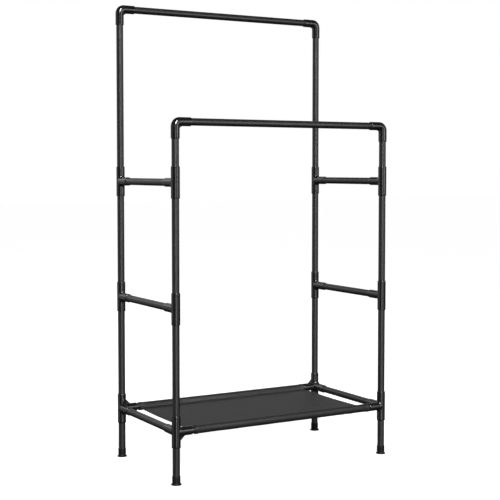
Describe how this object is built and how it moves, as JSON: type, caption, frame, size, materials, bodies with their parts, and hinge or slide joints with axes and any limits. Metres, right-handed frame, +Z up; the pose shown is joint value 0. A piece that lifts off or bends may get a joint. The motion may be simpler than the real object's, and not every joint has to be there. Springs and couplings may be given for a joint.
{
  "type": "garment rail",
  "caption": "Free-standing clothes rack of push-fit round tube with a low front and a tall rear hanging rail, side rails and a fabric shelf near the floor.",
  "frame": {"origin": "on the floor, midway between the four posts", "axes": "+Z up, +X along the hanging rails, -Y towards the front, where the lower hanging rail is"},
  "size_m": [0.88, 0.479, 1.64],
  "materials": {
    "tube": "black powder coat, satin",
    "connector": "moulded black plastic with a fine grain",
    "foot": "moulded black plastic, slightly soft",
    "cloth": "charcoal plain-weave polyester"
  },
  "bodies": {
    "root": {"front_left_foot": "foot", "front_left_leg_tube": "tube", "front_left_corner_connector": "connector", "front_left_lower_post": "tube", "front_left_middle_tee": "connector", "front_left_middle_post": "tube", "front_left_upper_tee": "connector", "front_left_upper_post": "tube", "front_left_elbow": "connector", "front_right_foot": "foot", "front_right_leg_tube": "tube", "front_right_corner_connector": "connector", "front_right_lower_post": "tube", "front_right_middle_tee": "connector", "front_right_middle_post": "tube", "front_right_upper_tee": "connector", "front_right_upper_post": "tube", "front_right_elbow": "connector", "rear_left_foot": "foot", "rear_left_leg_tube": "tube", "rear_left_corner_connector": "connector", "rear_left_lower_post": "tube", "rear_left_middle_tee": "connector", "rear_left_middle_post": "tube", "rear_left_upper_tee": "connector", "rear_left_upper_post": "tube", "rear_left_elbow": "connector", "rear_right_foot": "foot", "rear_right_leg_tube": "tube", "rear_right_corner_connector": "connector", "rear_right_lower_post": "tube", "rear_right_middle_tee": "connector", "rear_right_middle_post": "tube", "rear_right_upper_tee": "connector", "rear_right_upper_post": "tube", "rear_right_elbow": "connector", "left_lower_side_rail": "tube", "left_middle_side_rail": "tube", "left_upper_side_rail": "tube", "right_lower_side_rail": "tube", "right_middle_side_rail": "tube", "right_upper_side_rail": "tube", "front_shelf_rail": "tube", "rear_shelf_rail": "tube", "front_hanging_rail": "tube", "rear_hanging_rail": "tube", "fabric_shelf": "cloth"}
  },
  "joints": []
}
